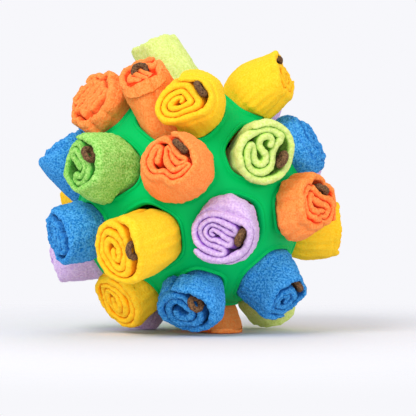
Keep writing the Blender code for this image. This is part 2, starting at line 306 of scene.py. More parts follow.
@dataclass(frozen=True)
class PaperSweep(Finish):
    """Matt white studio paper, which fades out at its rim into the background's own white."""

    name: str = "paper_sweep"
    colour: str = "#E6E6EC"
    fade_start: float = 0.12
    fade_end: float = 0.42

    def surface(self, tree: Tree) -> Socket:
        """Build the look of the paper.

        Args:
            tree: The material's node tree.

        Returns:
            The shader.
        """
        place = add_node(tree, "ShaderNodeTexCoord").outputs["Object"]
        reach = add_node(tree, "ShaderNodeVectorMath", {0: place}, operation="LENGTH").outputs["Value"]
        ends = {"Value": reach, "From Min": self.fade_start, "From Max": self.fade_end}
        fade = add_node(tree, "ShaderNodeMapRange", ends, interpolation_type="SMOOTHSTEP").outputs["Result"]
        paper = add_node(tree, "ShaderNodeBsdfDiffuse", {"Color": linear(self.colour)}).outputs[0]
        clear = add_node(tree, "ShaderNodeBsdfTransparent").outputs[0]
        return add_node(tree, "ShaderNodeMixShader", {0: fade, 1: paper, 2: clear}).outputs[0]


class Dye(Enum):
    """The colours of fleece."""

    # After the name: painted highlight on the pile, painted shade between clumps, painted shade in folds, then
    # sizes.
    ORANGE = BrushedFleece("orange_fleece", "#FFA65C", "#FF7A30", "#FF3404", 0.95, 0.5, 0.6, 0.2)
    YELLOW = BrushedFleece("yellow_fleece", "#FFD83C", "#FFBC08", "#FFA404", 0.9, 0.4, 0.45, 0.15)
    LIME = BrushedFleece("lime_fleece", "#E2EC9C", "#C6DC6A", "#78C41C", 1.2, 0.5, 0.55, 0.18)
    GREEN = BrushedFleece("green_fleece", "#B8E882", "#6CB840", "#38A030", 1.05, 0.75, 0.75, 0.3)
    BLUE = BrushedFleece("blue_fleece", "#54ACEC", "#1070BE", "#06509C", 1.05, 0.8, 0.95, 0.32)
    LAVENDER = BrushedFleece("lavender_fleece", "#E0C8EA", "#C09CD4", "#9044C4", 1.1, 0.5, 0.6, 0.22)

    @property
    def slot(self) -> str:
        """The dye's name in lower case."""
        return self.name.lower()


def mesh_object(name: str, points: Array, faces: list) -> bpy.types.Object:
    """Make a smooth mesh object in the row frame.

    Args:
        name: The piece's name.
        points: The vertices, in metres.
        faces: The vertex numbers of each face.

    Returns:
        The object, linked to the scene, with its faces turned outwards.
    """
    mesh = bpy.data.meshes.new(name)
    mesh.from_pydata(np.asarray(points, float).tolist(), [], faces)
    bm = bmesh.new()
    bm.from_mesh(mesh)
    bmesh.ops.recalc_face_normals(bm, faces=bm.faces)
    bm.to_mesh(mesh)
    bm.free()
    mesh.shade_smooth()
    obj = bpy.data.objects.new(name, mesh)
    bpy.context.scene.collection.objects.link(obj)
    return obj


def subdivide(piece: bpy.types.Object, levels: int) -> bpy.types.Mesh:
    """Divide a piece's mesh finely and round it.

    Args:
        piece: The piece.
        levels: How many times each face is divided.

    Returns:
        The piece's new mesh.
    """
    modifier = piece.modifiers.new("rounded", "SUBSURF")
    modifier.levels = modifier.render_levels = levels
    graph = bpy.context.evaluated_depsgraph_get()
    mesh = bpy.data.meshes.new_from_object(piece.evaluated_get(graph))
    piece.modifiers.clear()
    piece.data = mesh
    mesh.shade_smooth()
    return mesh


def enter(piece: bpy.types.Object, finish: Finish, node: str, body: str) -> None:
    """Give a piece its material and its place in the model.

    Args:
        piece: The piece.
        finish: What it is made of.
        node: The CAD node that it replaces.
        body: The body that it rides on.
    """
    piece.data.materials.append(finish.material())
    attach(piece, body)
    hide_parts(node)


def lumps(points: Array, size: float, seed: int) -> Array:
    """Smooth irregularities in space.

    Args:
        points: Where they are wanted.
        size: How far apart they lie, in metres.
        seed: Which of many such fields.

    Returns:
        A value between -1 and 1 for each point.
    """
    side = 32
    table = np.random.default_rng(seed).uniform(-1, 1, (side, side, side))
    cell = np.floor(points / size)
    share = points / size - cell
    share = share * share * (3 - 2 * share)
    cell = cell.astype(int)
    total = np.zeros(points.shape[:-1])
    for corner in product((0, 1), repeat=3):
        at = (cell + corner) % side
        total += np.prod(np.where(corner, share, 1 - share), axis=-1) * table[at[..., 0], at[..., 1], at[..., 2]]
    return total


def smoothed(values: Array) -> Array:
    """Values along a line, each averaged with its neighbours."""
    return np.convolve(np.pad(values, 2, "edge"), np.ones(5) / 5, "valid")


def spline(before: Array, start: Array, stop: Array, after: Array, t: float) -> Array:
    """A place on the smooth curve through four points.

    Args:
        before: The first point.
        start: The second one, where the wanted part of the curve starts.
        stop: The third one, where it stops.
        after: The last point.
        t: How far from the start to the stop, 0 to 1.

    Returns:
        The place.
    """
    bend = (2 * before - 5 * start + 4 * stop - after) * t**2
    return 0.5 * (2 * start + (stop - before) * t + bend + (3 * start - before - 3 * stop + after) * t**3)


def tangent(towards: Vector, normal: Vector) -> Vector:
    """The unit vector nearest to a direction that is square to the normal."""
    return (towards - towards.dot(normal) * normal).normalized()


def facing_axes(normal: Vector) -> tuple[Vector, Vector]:
    """The axes of a roll's end for someone who faces it.

    Args:
        normal: The direction that the end faces.

    Returns:
        Right and up.
    """
    sideways = UP.cross(normal)
    right = tangent(RIGHT if sideways.length < 0.2 else sideways.normalized(), normal)
    return right, normal.cross(right)


@dataclass(frozen=True)
class Hole:
    """One hole of the lattice: the direction of its middle and its corners' keys in order."""

    direction: Vector
    corners: tuple

    @property
    def sides(self) -> list[tuple]:
        """The keys of both corners of each side."""
        return list(zip(self.corners, self.corners[1:] + self.corners[:1]))


@dataclass
class LatticeBall:
    """The hollow rubber ball with the thirty-two holes of a truncated icosahedron."""

    centre: Vector
    radius: float = 65 * MM
    wall: float = 6 * MM
    strut_width: float = 11.4 * MM
    stretch: float = 6.5 * MM
    turn_degrees: tuple = (136.9, -28.9, 169.9)
    stretched_hole: tuple = (-8.5, 50.3)
    edge_shares: tuple = (0.16, 0.5, 0.84)  # where a hole's side has points, which leaves its corners round
    # Across half a strut from the hole's edge: how far on to the strut, and how far in from the skin, in mm
    profile: tuple = (
        (4.2, 0.0), (3.0, 0.6), (2.3, 0.75), (1.8, -0.4), (1.0, -0.35), (0.2, 0.7), (-0.1, 1.9), (-0.2, 3.2),
        (0.1, 4.7), (1.3, 5.8),
    )
    subdivisions: int = 2
    corners: dict = field(default_factory=dict)
    holes: list = field(default_factory=list)
    piece: bpy.types.Object | None = None

    def __post_init__(self) -> None:
        """Work out the holes, with the one that holds two rolls stretched."""
        golden = (1 + math.sqrt(5)) / 2
        turn = Euler([math.radians(angle) for angle in self.turn_degrees], "XYZ").to_matrix()
        points = []
        for a, b in product((-1, 1), repeat=2):
            for shift in range(3):
                point = [0, a, b * golden]
                points.append(turn @ Vector(point[-shift:] + point[:-shift]).normalized())
        apart = 1.1 * min((points[0] - point).length for point in points[1:])
        pairs = product(range(len(points)), repeat=2)
        near = {(i, j) for i, j in pairs if i != j and (points[i] - points[j]).length < apart}
        self.corners = {(i, j): (2 * points[i] + points[j]).normalized() for i, j in near}
        groups = [[key for key in self.corners if key[0] == i] for i in range(len(points))]
        for trio in combinations(range(len(points)), 3):
            if all(pair in near for pair in combinations(trio, 2)):
                groups.append([key for key in self.corners if key[0] in trio and key[1] in trio])
        self.holes = [self.make_hole(keys) for keys in groups]
        angle = self.stretch / self.radius
        wide = self.nearest_hole(self.stretched_hole)
        for key in wide.corners:
            away = -tangent(wide.direction, self.corners[key])
            self.corners[key] = math.cos(angle) * self.corners[key] + math.sin(angle) * away
        self.holes = [self.make_hole(keys) for keys in groups]

    def make_hole(self, keys: list) -> Hole:
        """Put a hole's corners in order round its middle.

        Args:
            keys: The keys of the corners.

        Returns:
            The hole.
        """
        middle = sum((self.corners[key] for key in keys), Vector()).normalized()
        first = tangent(self.corners[keys[0]], middle)
        second = middle.cross(first)
        turns = {key: math.atan2(self.corners[key].dot(second), self.corners[key].dot(first)) for key in keys}
        return Hole(middle, tuple(sorted(keys, key=turns.get)))

    def nearest_hole(self, aim: tuple[float, float]) -> Hole:
        """Find a hole.

        Args:
            aim: Its azimuth from the front and its elevation, roughly, in degrees.

        Returns:
            The nearest hole.
        """
        azimuth, elevation = (math.radians(angle) for angle in aim)
        level = math.cos(elevation)
        wanted = Vector((level * math.sin(azimuth), -level * math.cos(azimuth), math.sin(elevation)))
        return max(self.holes, key=lambda hole: hole.direction.dot(wanted))

    def hole_loops(self, hole: Hole, points: list) -> list[dict]:
        """Add the points of half of every strut beside a hole.

        Args:
            hole: The hole.
            points: The ball's points so far, which grow.

        Returns:
            For each step of the profile the number of each point, by its side's corners and place on the side.
        """
        loops = []
        for on_strut, depth in self.profile:
            angle = (self.strut_width / 2 - on_strut * MM) / math.sin(math.radians(60)) / self.radius
            pulled, loop = {}, {}
            for key in hole.corners:
                inward = tangent(hole.direction, self.corners[key])
                pulled[key] = math.cos(angle) * self.corners[key] + math.sin(angle) * inward
            for first, second in hole.sides:
                for k, share in enumerate(self.edge_shares):
                    loop[first, second, k] = len(points)
                    place = pulled[first].lerp(pulled[second], share).normalized()
                    points.append(self.centre + place * (self.radius - depth * MM))
            loops.append(loop)
        return loops

    def build(self, finish: MouldedRubber) -> bpy.types.Object:
        """Mould the ball.

        Args:
            finish: The rubber.

        Returns:
            The piece.
        """
        points, faces = [], []
        loops = [self.hole_loops(hole, points) for hole in self.holes]
        for loop in loops:
            for upper, lower in zip(loop, loop[1:]):
                keys = list(upper)
                for one, other in zip(keys, keys[1:] + keys[:1]):
                    faces.append((upper[one], upper[other], lower[other], lower[one]))
        beside: dict = {}
        for hole, loop in zip(self.holes, loops):
            for first, second in hole.sides:
                beside.setdefault(frozenset((first, second)), []).append((loop, first, second))
        last = len(self.edge_shares) - 1
        for skin in (0, -1):
            for (one, first, second), (other, start, stop) in beside.values():
                for k in range(last):
                    near = (one[skin][first, second, k], one[skin][first, second, k + 1])
                    far = [other[skin][start, stop, last - step - k] for step in (1, 0)]
                    faces.append((*near, *far))
            for key in self.corners:
                faces.append(self.joint_face(key, [loop[skin] for loop in loops]))
        self.piece = mesh_object("rubber_lattice", points, faces)
        subdivide(self.piece, self.subdivisions)
        enter(self.piece, finish, "rubber_ball", "ball")
        return self.piece

    def joint_face(self, key: tuple, loops: list) -> tuple:
        """The face where three struts meet.

        Args:
            key: The lattice corner.
            loops: The numbers of every hole's points on one of the two skins.

        Returns:
            The numbers of its points in order round the corner.
        """
        out = self.corners[key]
        first = tangent(UP if abs(out.z) < 0.9 else RIGHT, out)
        second = out.cross(first)
        found = []
        for hole, loop in zip(self.holes, loops):
            if key not in hole.corners:
                continue
            at = hole.corners.index(key)
            before, after = hole.corners[at - 1], hole.corners[(at + 1) % len(hole.corners)]
            ends = ((before, loop[before, key, len(self.edge_shares) - 1]), (after, loop[key, after, 0]))
            for neighbour, number in ends:
                towards = tangent(hole.direction, out) + 0.3 * tangent(self.corners[neighbour], out)
                found.append((math.atan2(towards.dot(second), towards.dot(first)), number))
        return tuple(number for _, number in sorted(found))

    def search_tree(self) -> BVHTree:
        """Make the finished rubber surface searchable.

        Returns:
            The search tree.
        """
        bm = bmesh.new()
        bm.from_mesh(self.piece.data)
        made = BVHTree.FromBMesh(bm)
        bm.free()
        return made


class Winding(Enum):
    """How a strip is wound where no line is drawn for it."""

    SPIRAL = "rolled up from one end"
    LOOSE = "rolled up with slack between its turns"
    FOLDED = "folded to and fro"


# The lines that the strips follow on the planes of their rolls' ends: millimetres to the right and up for
# someone who faces the end, from one free edge of the strip to the other.
WINDINGS = {
    "orange_front": (
        (1, 15.9), (4.8, 14.5), (9.2, 11.2), (13, 7.6), (15.8, 2.4), (15.9, -1.6), (13.6, -5.6), (10.4, -9),
        (7, -11.2), (4, -11.6), (1, -9.8), (-2, -8), (-6, -8.2), (-10.2, -6.6), (-13.4, -2), (-13.8, 3),
        (-11.4, 8.2), (-8, 11.2), (-4, 12.7), (-0.6, 11.6), (2, 9), (4, 5.9), (6.6, 3.6), (9.6, 2.9),
        (11.2, 1.2), (9, -0.2), (6.4, 0), (3.9, 2), (2, 5.2), (0.6, 8), (-1.3, 8.3), (-1.3, 4.8), (0.2, 0.9),
        (2.2, -2), (4.7, -4), (7.4, -3.4), (9.8, -2), (12, -0.6), (13.2, -2.2), (11.6, -4.6), (9.4, -6.6),
        (7, -7.9), (4.2, -8), (1.6, -6.2), (-1.2, -4.5), (-4.6, -5.3), (-7.8, -4.1), (-9.7, -0.4), (-9.5, 4.4),
        (-7.3, 8), (-4.8, 7.8), (-4.4, 4.6), (-4.8, 1), (-5.4, -1.4),
    ),
    "lavender_front_low": (
        (-5.2, -2.4), (-7.2, -2.7), (-8.1, -1), (-6.2, 0.2), (-3.2, -1), (0, -3.4), (2.8, -5.2), (3.9, -6.8),
        (2.2, -8), (-0.8, -6.9), (-4.4, -5.4), (-8, -4.6), (-10.3, -2), (-10, 1), (-7.2, 2.9), (-3.6, 2.2),
        (0, 0), (3.2, -2.2), (5.4, -2.9), (6.2, -1.4), (4.6, 0.8), (1, 2.9), (-3.2, 4.9), (-7.4, 5.4),
        (-11.4, 3.6), (-13.4, 0.2), (-12.4, -3.8), (-9.4, -7), (-5, -8.4), (-1.4, -9.6), (0.2, -11.8),
        (-2.6, -13), (-6.4, -12), (-10, -10.4), (-13.6, -8), (-16, -4.4), (-16.4, 0), (-15, 4.4), (-11, 7.6),
        (-5.6, 8.5), (0.2, 7.4), (6.2, 5.4), (11, 3.2), (13.2, -1), (12.6, -5.8), (10.2, -10), (6.2, -13.2),
        (1, -15.4), (-5, -16), (-10.6, -14.6), (-14.4, -12.2), (-16.4, -9.6),
    ),
    "yellow_front_left": (
        (3, 17.4), (8.6, 16), (12.2, 11.6), (13.8, 5.4), (13.9, -2), (12.6, -9), (8.6, -14.4), (2.4, -16.8),
        (-5, -15.8), (-10.8, -12), (-14, -6), (-14.6, 1), (-13.2, 8), (-8.8, 13), (-2.4, 14.6), (3.6, 12.4),
        (6.6, 7), (6.8, 0), (6.2, -6), (3.4, -11.4), (-1.6, -13.4), (-6.6, -11.5), (-10.2, -6.5), (-11.3, 0),
        (-10.2, 6), (-7, 9.9), (-2.4, 10.2), (1.6, 6.4), (3.2, 0), (2.4, -6), (-0.8, -10), (-4.6, -8.6),
        (-7.2, -3), (-7.8, 2), (-6, 6), (-2.6, 6), (-0.4, 0.6), (-1.6, -5.4), (-4, -3.4), (-4.2, 2),
    ),
    "lime_front_right": (
        (-9, 13), (-2, 15.6), (5, 15), (11, 11.4), (14.2, 5), (14, -2), (11.6, -8.2), (7, -12.6), (1, -14.6),
        (-5.6, -14.2), (-11.4, -11), (-15, -5.4), (-15.6, 1), (-13.4, 7), (-8.6, 11), (-2.6, 12.6), (3.4, 12.2),
        (7.9, 9.6), (7.4, 6.9), (4.8, 4.6), (3.5, 0.2), (3, -5.6), (0.4, -9.2), (-5, -10.8), (-10, -8.4),
        (-12, -3.6), (-11.6, 1.2), (-9.8, 4.6), (-8, 3.8), (-7.6, 0.2), (-7.2, -3.8), (-4, -6.4), (-1, -4.8),
        (-0.4, -1.6), (-2.6, 1.2), (-4.7, 3.8), (-4.4, 7.3), (-1.2, 9.1), (2.2, 8), (2, 4.8), (-0.4, 3.8),
    ),
    "green_left": (
        (-2, 14.6), (5, 14), (11, 10.8), (14.4, 4.6), (13.8, -3), (10.4, -9.6), (4.4, -13.4), (-2.6, -13.6),
        (-8.6, -10.6), (-12, -5), (-12.2, 1.6), (-9.6, 7.4), (-5, 11), (0, 11.2), (2, 7.6), (4.6, 3.4),
        (7, -0.8), (7.2, -5.4), (4, -9.4), (-1.6, -10.4), (-5.6, -8.6), (-3.4, -6.2), (0.6, -6.8), (3.7, -4.8),
        (3.9, -1.4), (1.5, 2.6), (-1.6, 6.6), (-5, 7.8), (-6.8, 5), (-4.8, 1.6), (-1.4, -1.6), (0.8, -3.4),
    ),
    "yellow_crown": (
        (-6, 10), (0, 10.4), (6.6, 8.8), (11.4, 4.6), (12.4, -2), (8.5, -7), (1, -10), (-7, -12),
        (-13.4, -11.2), (-16.8, -6.5), (-15.8, -0.6), (-12, 4), (-7.4, 6.6), (-2, 7), (1, 5.2), (3.6, 1.6),
        (5.8, -1.8), (4.2, -4.8), (-1, -6.8), (-7, -8.7), (-11.6, -8.4), (-13.4, -5), (-11.4, -0.8), (-8, 2.4),
        (-4.4, 3.8), (-1.6, 2.4), (1, 0), (2, -2.2), (-1, -3.7), (-5.4, -5.3), (-9.2, -5.6), (-10, -3.4),
        (-7.2, -0.4), (-4.4, 0.6), (-2.8, -0.6), (-5, -2.6),
    ),
    "blue_under_front": (
        (-4, 15.2), (4, 14.6), (11, 11.6), (15, 5.6), (15.6, -2), (12.4, -8.6), (6.4, -12.9), (-1, -14.3),
        (-8.6, -13.2), (-14.2, -9), (-16.6, -2.4), (-14.8, 4), (-10, 8.8), (-4, 10.8), (0.6, 9.6), (3.4, 6),
        (6.2, 2), (7.8, -2), (6.4, -6.4), (2, -9.6), (-4, -10), (-9.4, -7.4), (-12, -2.6), (-10.6, 2.6),
        (-6.4, 5.8), (-2, 5.4), (1, 2), (2.6, -2), (0.6, -5.2), (-3.8, -5.6), (-7, -3), (-6.6, 0.6),
    ),
    "orange_right": (
        (12.2, -8.6), (15, -4), (15.4, 1.6), (13.2, 8.6), (8, 13.6), (1, 15.8), (-6, 14.4), (-11.6, 10),
        (-14.8, 3.4), (-14.6, -4), (-10.6, -9.4), (-4, -11.6), (3, -11), (9.4, -8.4), (13.2, -4), (12.6, 0.8),
        (9.2, 3.4), (5, 4.8), (0.6, 7), (-3, 10), (-7.2, 9.6), (-10.2, 5.4), (-10.8, 0), (-8.6, -5),
        (-3.6, -7.8), (2, -7.4), (6.6, -5.6), (9.4, -2.4), (7, -0.2), (2.6, 0.8), (-1.4, 2.6), (-4, 5.8),
        (-6.6, 3.6), (-6.4, -1), (-3, -4), (1.6, -3.8), (4.8, -2.8),
    ),
    "yellow_left_low": (
        (2, 15.6), (9, 13), (13.6, 7), (14.6, 0), (12.6, -8), (7, -13.2), (-0.6, -15), (-8, -13), (-13.2, -7.4),
        (-14.8, 0), (-13, 7.4), (-8.6, 11.8), (-3, 12.7), (3.4, 11), (9, 6.6), (10.9, -0.6), (8.8, -7.6),
        (4, -11.2), (-2, -12.1), (-7.4, -9.6), (-10.8, -4), (-11.1, 2), (-9.2, 7.4), (-5.6, 9.6), (-1, 9),
        (3.8, 5.6), (6.8, -0.4), (5, -6), (1, -8.8), (-3.4, -9), (-6.8, -5), (-7.7, 0), (-6.8, 4.4),
        (-4.2, 6.4), (-1, 4.8), (2, 1), (2.4, -2), (0, -5), (-3, -5.6), (-4.6, -2), (-3.6, 2.2),
    ),
}


@dataclass(frozen=True)
class RollPlan:
    """Where one wound strip sits, how large it is and how it leans, in shares of the sizes of StuffedRoll."""

    name: str
    aim: tuple[float, float]
    width_share: float
    reach_share: float
    lean_shares: tuple[float, float, float] = (0.0, 0.0, 0.0)
    face_turn: float = 90.0
    treat: bool = False
    pair_side: int = 0
    rests: bool = False
    ends_on_surface: bool = False
    winding: Winding = Winding.SPIRAL
    lie: float = 0.0  # the bearing of the folds, in degrees from right
    squareness: float = 0.3
    start: float = 0.31  # how many turns before the treat the strip's outer edge lies
    gap: tuple[float, float] = (0.0, 0.0)  # the bearing and millimetres of the slack beside it in its hole
    pleats: tuple[int, float] = (1, 0.0)  # how many creases run down its flank, and their depth in millimetres
    end_share: float = 1.0  # how wide its end is, of what its winding asks for
    dip: tuple[float, float] = (0.0, 0.0)  # the bearing to which its end slopes down, and by how many degrees
    lobe: tuple[float, float] = (0.0, 0.0)  # the bearing and millimetres of a bulge beside its shoulder
    wrap_back: float = 0.0  # how many millimetres the hem of the outermost wrap stays behind the folds inside it
    proud: float = 0.0  # how many millimetres further out than its end plane the hems stand

    @property
    def dye(self) -> Dye:
        """The fleece's colour."""
        return Dye[self.name.split("_")[0].upper()]


PLANS = (
    RollPlan("orange_front", (-3, 13), 1.14, 1.0, (-0.41, 0, 0.12), 40, True, gap=(-85, 3.2), lobe=(200, 1.5)),
    RollPlan("lavender_front_low", (22, -15), 1.04, 1.0, (-0.63, 0, 0.24), 112, True, gap=(20, 3.0)),
    RollPlan("yellow_front_left", (-21, -19), 1.1, 1.0, (-0.39, 0, 0.03), 87, True, gap=(110, 2.4)),
    RollPlan("lime_front_right", (35, 25), 1.0, 1.0, (-0.24, 0, -0.48), 112, True, gap=(170, 4.0)),
    RollPlan(
        "green_left", (-41, 18), 1.02, 1.0, (-0.16, 0, -0.24), 58, True, gap=(-20, 2.0), pleats=(3, 1.6),
        lobe=(-95, 3.5),
    ),
    RollPlan("yellow_crown", (-8, 50), 0.96, 0.8, (-0.29, -0.74, -0.48), 55, True, pair_side=1),
    RollPlan(
        "orange_crown", (-8, 50), 0.77, 0.8, (-0.33, 0.66, 0.4), 250, True, pair_side=-1,
        winding=Winding.FOLDED, lie=240, squareness=0.5, pleats=(7, 3.0), dip=(12, 40), proud=-2.0,
    ),
    RollPlan("blue_under_front", (6, -50), 1.04, 0.85, (-0.36, 0, 0.125), 55, True, gap=(60, 2.0)),
    RollPlan(
        "orange_right", (59, -4), 1.03, 1.0, (-0.24, 0, 0.15), 30, True, pleats=(6, 3.4), lobe=(225, 3.0),
        proud=1.6,
    ),
    RollPlan(
        "blue_left", (-60, -15), 0.95, 0.9, (-0.15, 0, 0.03), 250, winding=Winding.FOLDED, lie=255,
        end_share=0.94, wrap_back=2.6, proud=0.6,
    ),
    RollPlan(
        "blue_right_low", (60, -42), 1.0, 1.0, (-0.18, 0, 0.21), 35, True, start=0.68, pleats=(4, 2.4),
        proud=3.0,
    ),
    RollPlan("yellow_left_low", (-55, -52), 1.0, 0.9, (0.09, 0, 0.45), 300),
    RollPlan(
        "yellow_right_top", (57, 59), 0.97, 1.21, (0.4, 0, -0.36), 20, True, start=0.75, proud=1.5,
        pleats=(5, 2.0), end_share=0.92, dip=(-90, 14),
    ),
    RollPlan(
        "orange_left_top", (-67, 48), 1.04, 1.0, (-0.05, 0, -0.3), 200, winding=Winding.FOLDED, lie=255,
        squareness=0.5, pleats=(9, 4.5), end_share=0.95, dip=(-12, 17), wrap_back=1.5, proud=0.5,
    ),
    RollPlan(
        "blue_right_high", (82, 26), 1.04, 0.95, (-0.36, 0, -0.15), 60, start=0.9, wrap_back=1.8, proud=0.6,
    ),
    RollPlan("blue_left_high", (-85, 14), 0.98, 0.85, (0.34, 0, 0.58), 320, start=0.11),
    RollPlan("yellow_right", (95, -14), 1.08, 1.05, (-0.06, 0, 0.25), 140),
    RollPlan("lavender_left_low", (-98, -26), 0.92, 0.85, (-0.12, 0, 0), 220, start=0.8),
    RollPlan("orange_bottom", (66, -84), 1.02, 0.51, (0.35, -0.2, 0), 90, ends_on_surface=True, end_share=1.12),
    RollPlan(
        "lime_top", (-114, 84), 0.8, 1.27, (-0.57, 0, -0.09), 280, winding=Winding.FOLDED, lie=270,
        squareness=0.9, end_share=0.86, dip=(90, 10),
    ),
    RollPlan("lavender_under_left", (-123, -59), 0.92, 0.63, (0, 0, 0), 180, rests=True),
    RollPlan("lime_under_right", (113, -48), 0.94, 1.0, (-0.2, 0.4, 0), 150, rests=True),
    RollPlan("lavender_right_back", (120, 15), 0.94, 0.85, (0, 0.2, -0.1), 30),
    RollPlan("yellow_left_back", (-121, 4), 0.92, 0.75, (0, 0, 0.1), 210, winding=Winding.LOOSE),
    RollPlan("lime_under_back", (172, -50), 0.94, 0.92, (0, 0, 0), 75, rests=True),
    RollPlan("green_back_left", (-145, -25), 1.0, 0.95, (-0.2, 0, 0.1), 260, winding=Winding.LOOSE),
    RollPlan(
        "blue_back_left_top", (-121, 42), 0.95, 1.0, (0.1, 0.4, -0.4), 330, winding=Winding.FOLDED, lie=30,
    ),
    RollPlan("lavender_back_right_top", (125, 52), 0.95, 1.0, (-0.1, 0.5, -0.3), 45),
    RollPlan("orange_back_top", (-174, 50), 0.98, 1.0, (0.1, 0, 0.1), 120, winding=Winding.LOOSE),
    RollPlan("orange_back_right", (139, -18), 1.0, 0.9, (-0.2, 0.3, 0), 290),
    RollPlan("yellow_back_right", (159, 19), 1.02, 1.0, (0.2, 0, 0.2), 15, winding=Winding.FOLDED, lie=-40),
    RollPlan("lime_back_left", (-158, 15), 1.0, 1.0, (-0.2, 0, 0.2), 165),
    RollPlan("blue_back", (177, -13), 1.0, 0.95, (0.1, 0, -0.2), 240),
)


@dataclass(frozen=True)
class Section:
    """One cross-section of a roll: its middle, its normal and its radius."""

    middle: Vector
    normal: Vector
    radius: float


@dataclass
class StuffedRoll:
    """One wound strip in its hole, and the sizes that all strips share."""

    plan: RollPlan
    number: int  # seeds its irregularities
    ball: LatticeBall
    tree: BVHTree
    fleece: float = 3.4 * MM
    pitch: float = 3.7 * MM
    loose_pitch_share: float = 1.3
    radius: float = 17 * MM
    reach: float = 21.5 * MM
    shoulder_rise: float = 5 * MM
    shoulder_clearance: float = 1 * MM
    shoulder_share: float = 0.97
    neck_depth: float = 1.8 * MM
    neck_fill_share: float = 1.15
    neck_levels: tuple = (0.4, 0.15, -0.1, -0.35)  # where a hole's rim is felt for, in walls above it
    tail_depth: float = 24 * MM
    tail_radius: float = 9.5 * MM
    pair_spacing: float = 26 * MM
    pocket_depth: float = 4.4 * MM
    core: float = 1.6 * MM  # what stays free in the middle of a spiral
    treat_half: float = 2.0 * MM
    treat_reach: float = 4.6 * MM  # from the treat's middle to the furthest point that the cloth goes round
    foot_flat: float = 0.5 * MM
    foot_share: float = 0.85
    step: float = 0.9 * MM  # the spacing of the mesh along the strip
    turn_steps: int = 16
    low_levels: tuple = (0.0, 0.5, 0.8)  # 0 at the tail, 1 at the neck, 2 at the shoulder, 3 at the end
    high_levels: tuple = (0.95, 2.84)
    wall_levels: int = 19
    cap_points: int = 8
    crest: float = 0.6 * MM  # how far the hems stand proud of the plane of the roll's end
    hem_wander: float = 0.9 * MM
    hem_waves_mm: tuple = (47, 21, 9, 4.1, 2.3)
    slump: float = 0.5 * MM  # how far a strip strays from its drawn line
    slump_size: float = 6 * MM
    inner_cap: float = 1.7 * MM
    outer_cap: float = 3.4 * MM
    under_cap_share: float = 1.35
    thinnest: float = 0.7 * MM
    swell_share: float = 0.64
    touching: float = 0.03 * MM
    edge_round: float = 1.6 * MM
    fold_light: float = 20 * MM  # the gap beside a layer at which the painted shade in folds has faded by one
    pile_share: float = 0.45
    pile_clear: float = 2 * MM  # how far outside the ball the pile stands in full
    wrap_points: int = 14  # on the last length, which goes round a folded strip
    wrap_start: float = -0.02  # in turns from its lowest point
    square_bulge: float = 0.22
    square_fill: float = 0.6
    least_chord: float = 0.3  # the shortest layer's half length, as a share of the longest
    fold_room: float = 0.4  # what each folded layer leaves free at its end, in pitches
    layer_shares: tuple = (0.88, 1.0)
    sag_mm: float = 0.8
    squeeze_shares: tuple = (0.08, 0.28)
    waviness: float = 0.035
    near_steps: float = 1.3  # how far along the strip another layer counts as beside a point
    nearest_layer: float = 0.8 * MM
    treat_level: float = 1.2 * MM
    full_fold: float = 1.25
    outermost_fold: float = 0.05  # a layer that lies less deep than this in folds has none beside it
    cap_bows: tuple = (0.9, 0.6)  # how full the hem's round is, and how the painted shade in folds fades over it
    bearings: int = 121
    extent_angle: float = 0.3
    flank_crease_share: float = 0.7
    press_reach: float = 3 * MM  # how near to the ball's skin a strip is pressed against the rubber
    press_search: float = 8 * MM

    def __post_init__(self) -> None:
        """Find the roll's seat and its cross-sections."""
        self.rng = np.random.default_rng(FIRST_SEED + self.number)
        self.hole = self.ball.nearest_hole(self.plan.aim)
        self.aside = self.plan.pair_side * self.pair_spacing / 2 * tangent(RIGHT, self.hole.direction)
        self.facing = math.radians(self.plan.face_turn)
        self.sections = self.cross_sections()

    def line(self) -> Array:
        """Work out the line that the strip follows on the plane of the roll's end.

        Returns:
            Its points at even steps, in metres to the right and up.
        """
        if self.plan.name in WINDINGS:
            drawn = np.array(WINDINGS[self.plan.name]) * MM
        elif self.plan.winding is Winding.FOLDED:
            drawn = self.folded()
        else:
            drawn = self.rolled()
        padded = np.vstack([2 * drawn[0] - drawn[1], drawn, 2 * drawn[-1] - drawn[-2]])
        shares = np.linspace(0, 1, 16, endpoint=False)[:, None]
        parts = [spline(*four, shares) for four in zip(padded, padded[1:], padded[2:], padded[3:])]
        fine = np.vstack([*parts, drawn[-1]])
        along = np.concatenate([[0], np.cumsum(np.linalg.norm(np.diff(fine, axis=0), axis=1))])
        wanted = np.linspace(0, along[-1], int(along[-1] / self.step) + 1)
        return np.column_stack([np.interp(wanted, along, fine[:, axis]) for axis in (0, 1)])

    def folded(self) -> Array:
        """Fold the strip to and fro, and wrap it in its own last length.

        Returns:
            The line's points.
        """
        plan, rng = self.plan, self.rng
        full = self.radius * plan.width_share - self.fleece / 2
        inner = full - self.pitch
        layers = max(3, int(2 * inner / self.pitch + 0.5))
        points = []
        for step in np.linspace(0, 1, self.wrap_points, endpoint=False):
            angle = math.tau * (step + self.wrap_start) - math.pi / 2
            square = 1 + plan.squareness * self.square_bulge * math.cos(2 * angle) ** 4
            points.append((full * math.cos(angle) * square, full * math.sin(angle) * square))
        for layer in range(layers):
            across = -inner + (layer + 0.5) * 2 * inner / layers
            chord = math.sqrt(max(inner**2 - across**2, (self.least_chord * inner) ** 2))
            half = chord + plan.squareness * self.square_fill * (inner - chord) - self.fold_room * self.pitch
            half *= rng.uniform(*self.layer_shares)
            sag = rng.uniform(-self.sag_mm, self.sag_mm) * MM
            ends = (1, 0.4, -0.3, -1) if layer % 2 else (-1, -0.3, 0.4, 1)
            points += [(end * half, across + sag * (1 - end**2) * 1.5) for end in ends]
        turn = math.radians(plan.lie)
        return np.array(points) @ [[math.cos(turn), math.sin(turn)], [-math.sin(turn), math.cos(turn)]]

